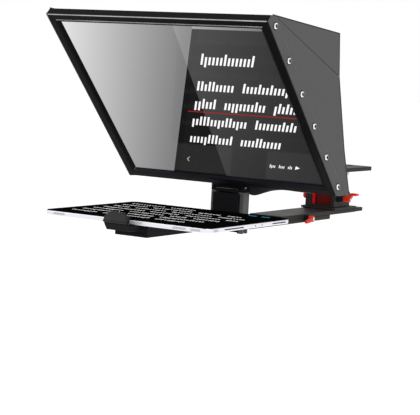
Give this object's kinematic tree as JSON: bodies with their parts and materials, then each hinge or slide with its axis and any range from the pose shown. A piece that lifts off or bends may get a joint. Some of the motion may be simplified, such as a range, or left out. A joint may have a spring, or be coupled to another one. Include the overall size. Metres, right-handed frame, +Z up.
{
  "type": "teleprompter",
  "caption": "Camera teleprompter: a tilting beam-splitter glass with a hood and lens shroud over a tablet tray on a telescoping column, on a rail with a camera plate that slides and rises.",
  "frame": {"origin": "middle of the tripod face under the base rail", "axes": "+Z up, +Y towards the camera, +X towards the lock levers; the person being filmed is at -Y"},
  "size_m": [0.3788, 0.7645, 0.3278],
  "materials": {
    "frame_black": "black anodised, satin",
    "base_black": "dark anodised, fine bead blast",
    "column_black": "dark anodised",
    "red_anodised": "red anodised",
    "bare_steel": "turned steel",
    "snap_steel": "plated",
    "hood_board": "board covered in dark grey coated cloth",
    "shroud_cloth": "black woven cloth",
    "beam_splitter": "partly mirrored coated glass",
    "glass_bead": "black plastic strip",
    "tablet_shell": "silver anodised",
    "tablet_sheet": "black display glass"
  },
  "bodies": {
    "base": {"base_rail": "base_black", "tripod_bush_1": "bare_steel", "tripod_bush_2": "bare_steel", "column_housing": "column_black", "column_foot": "base_black", "hinge_yoke": "column_black", "hinge_pin": "bare_steel", "foot_screw_left": "bare_steel", "foot_screw_right": "bare_steel", "rail_lever_boss": "column_black"},
    "rail_lever": {"rail_lock_lever": "red_anodised"},
    "glass_frame": {"frame_rail_top": "frame_black", "frame_rail_right": "frame_black", "frame_rail_bottom": "frame_black", "frame_rail_left": "frame_black", "glass_bead": "glass_bead", "beam_splitter": "beam_splitter", "hinge_leaf": "frame_black"},
    "hood": {"hood_roof": "hood_board", "hood_flange_left": "hood_board", "hood_side_left": "hood_board", "hood_gusset_left": "hood_board", "hood_flange_right": "hood_board", "hood_side_right": "hood_board", "hood_gusset_right": "hood_board", "snap_left_1": "snap_steel", "snap_left_2": "snap_steel", "snap_left_3": "snap_steel", "snap_left_4": "snap_steel", "snap_left_5": "snap_steel", "snap_left_6": "snap_steel", "snap_right_1": "snap_steel", "snap_right_2": "snap_steel", "snap_right_3": "snap_steel", "snap_right_4": "snap_steel", "snap_right_5": "snap_steel", "snap_right_6": "snap_steel", "lens_shroud": "shroud_cloth", "lens_collar": "shroud_cloth"},
    "middle_stage": {"middle_stage": "column_black", "column_lever_bolt": "bare_steel"},
    "column_lever": {"column_lock_lever": "red_anodised"},
    "carriage": {"tray_carriage": "column_black", "tray_arm": "base_black", "rear_stop": "base_black"},
    "jaw": {"jaw_tongue": "base_black", "jaw_body": "base_black", "jaw_lip": "base_black"},
    "tablet": {"tablet_body": "tablet_shell", "tablet_sheet": "tablet_sheet"},
    "slide_plate": {"slide_plate": "base_black", "bracket_foot": "base_black", "riser_bracket": "base_black", "wing_boss": "column_black"},
    "riser": {"riser": "red_anodised", "camera_plate": "base_black"},
    "riser_wing": {"riser_wing": "red_anodised"},
    "riser_knob": {"riser_knob": "red_anodised"},
    "camera_screw": {"camera_screw": "bare_steel"}
  },
  "joints": [
    {"name": "rail_lock_turn", "type": "hinge", "parent": "base", "child": "rail_lever", "pos_m": [0.0378, 0.038, 0.0068], "axis": [1, 0, 0], "range_deg": [-90, 0]},
    {"name": "glass_tilt", "type": "hinge", "parent": "base", "child": "glass_frame", "pos_m": [0, -0.16728, 0.06562], "axis": [1, 0, 0], "range_deg": [-8, 44]},
    {"name": "hood_lift_off", "type": "slide", "parent": "glass_frame", "child": "hood", "axis": [0, 0.7193, 0.6947], "range_m": [0, 0.12]},
    {"name": "middle_stage_drop", "type": "slide", "parent": "base", "child": "middle_stage", "axis": [0, 0, -1], "range_m": [0, 0.039]},
    {"name": "column_lock_turn", "type": "hinge", "parent": "middle_stage", "child": "column_lever", "pos_m": [0.0353, -0.162, 0.02], "axis": [1, 0, 0], "range_deg": [0, 90]},
    {"name": "tray_drop", "type": "slide", "parent": "middle_stage", "child": "carriage", "axis": [0, 0, -1], "range_m": [0, 0.039]},
    {"name": "jaw_open", "type": "slide", "parent": "carriage", "child": "jaw", "axis": [0, -1, 0], "range_m": [0, 0.035]},
    {"name": "tablet_lift_out", "type": "slide", "parent": "carriage", "child": "tablet", "axis": [1, 0, 0], "range_m": [0, 0.3]},
    {"name": "plate_slide", "type": "slide", "parent": "base", "child": "slide_plate", "axis": [0, 1, 0], "range_m": [-0.06, 0.06]},
    {"name": "riser_lift", "type": "slide", "parent": "slide_plate", "child": "riser", "axis": [0, 0, 1], "range_m": [0, 0.028]},
    {"name": "riser_lock_turn", "type": "hinge", "parent": "slide_plate", "child": "riser_wing", "pos_m": [0.0402, 0.16, 0.0345], "axis": [1, 0, 0], "range_deg": [0, 90]},
    {"name": "riser_knob_turn", "type": "hinge", "parent": "slide_plate", "child": "riser_knob", "pos_m": [-0.0283, 0.16, 0.0345], "axis": [-1, 0, 0], "continuous": true},
    {"name": "camera_screw_turn", "type": "hinge", "parent": "riser", "child": "camera_screw", "pos_m": [0, 0.235, 0.0788], "axis": [0, 0, 1], "continuous": true}
  ]
}
